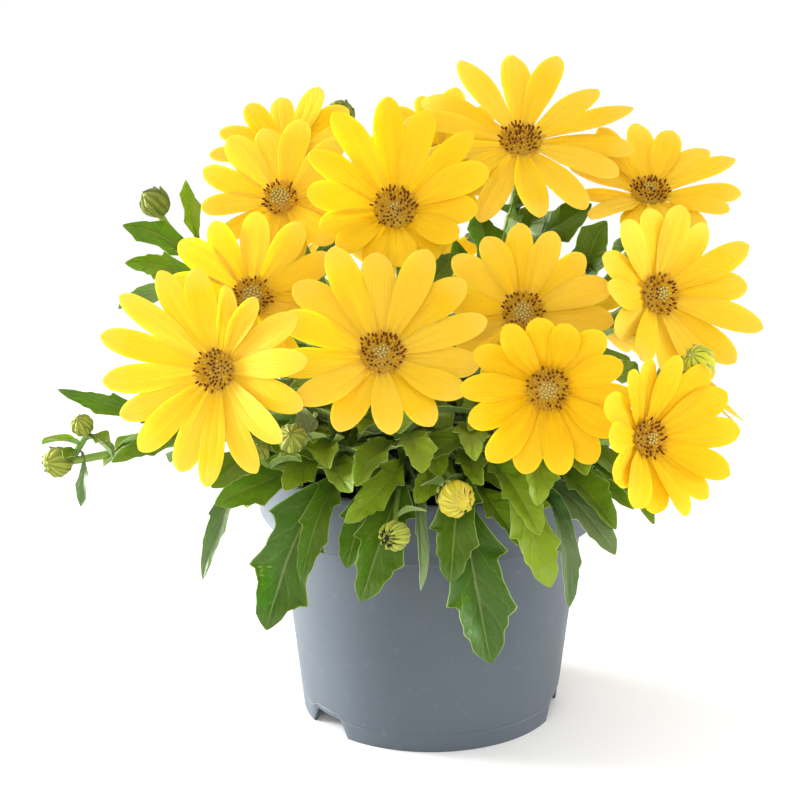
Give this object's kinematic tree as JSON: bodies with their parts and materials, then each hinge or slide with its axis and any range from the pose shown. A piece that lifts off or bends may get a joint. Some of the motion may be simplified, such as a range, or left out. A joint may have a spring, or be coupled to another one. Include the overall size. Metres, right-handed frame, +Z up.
{
  "type": "potted osteospermum",
  "caption": "Bushy yellow-flowered African daisy with toothed leaves and buds, growing in a round tapered nursery pot with a stepped collar.",
  "frame": {"origin": "the middle of the whole plant's box, on the surface that the pot stands on", "axes": "+Z up along the pot's axis; -Y towards the front, where the blooms face; +X to the right seen from the front"},
  "size_m": [0.2526, 0.2406, 0.237],
  "materials": {
    "pot": "satin",
    "soil": "rough, granular",
    "petals": "soft satin",
    "disc": "rough",
    "stem": "satin, finely hairy"
  },
  "bodies": {
    "root": {"pot": "pot", "soil": "soil", "bloom_01_petals": "petals", "bloom_01_disc": "disc", "bloom_02_petals": "petals", "bloom_02_disc": "disc", "bloom_03_petals": "petals", "bloom_03_disc": "disc", "bloom_04_petals": "petals", "bloom_04_disc": "disc", "bloom_05_petals": "petals", "bloom_05_disc": "disc", "bloom_06_petals": "petals", "bloom_06_disc": "disc", "bloom_07_petals": "petals", "bloom_07_disc": "disc", "bloom_08_petals": "petals", "bloom_08_disc": "disc", "bloom_09_petals": "petals", "bloom_09_disc": "disc", "bloom_10_petals": "petals", "bloom_10_disc": "disc", "bloom_11_petals": "petals", "bloom_11_disc": "disc", "bloom_12_petals": "petals", "bloom_12_disc": "disc", "bloom_13_petals": "petals", "bloom_13_disc": "disc", "bloom_14_petals": "petals", "bloom_14_disc": "disc", "bloom_15_petals": "petals", "bloom_15_disc": "disc", "bloom_16_petals": "petals", "bloom_16_disc": "disc", "bloom_17_petals": "petals", "bloom_17_disc": "disc", "bloom_18_petals": "petals", "bloom_18_disc": "disc", "bud_yellow_petals": "petals", "stem_01": "stem", "stem_02": "stem", "stem_03": "stem", "stem_04": "stem", "stem_05": "stem", "stem_06": "stem", "stem_07": "stem", "stem_08": "stem", "stem_09": "stem", "stem_10": "stem", "stem_11": "stem", "stem_12": "stem", "stem_13": "stem", "stem_14": "stem", "stem_15": "stem", "stem_16": "stem", "stem_17": "stem", "stem_18": "stem", "stem_19": "stem", "stem_20": "stem"}
  },
  "joints": []
}
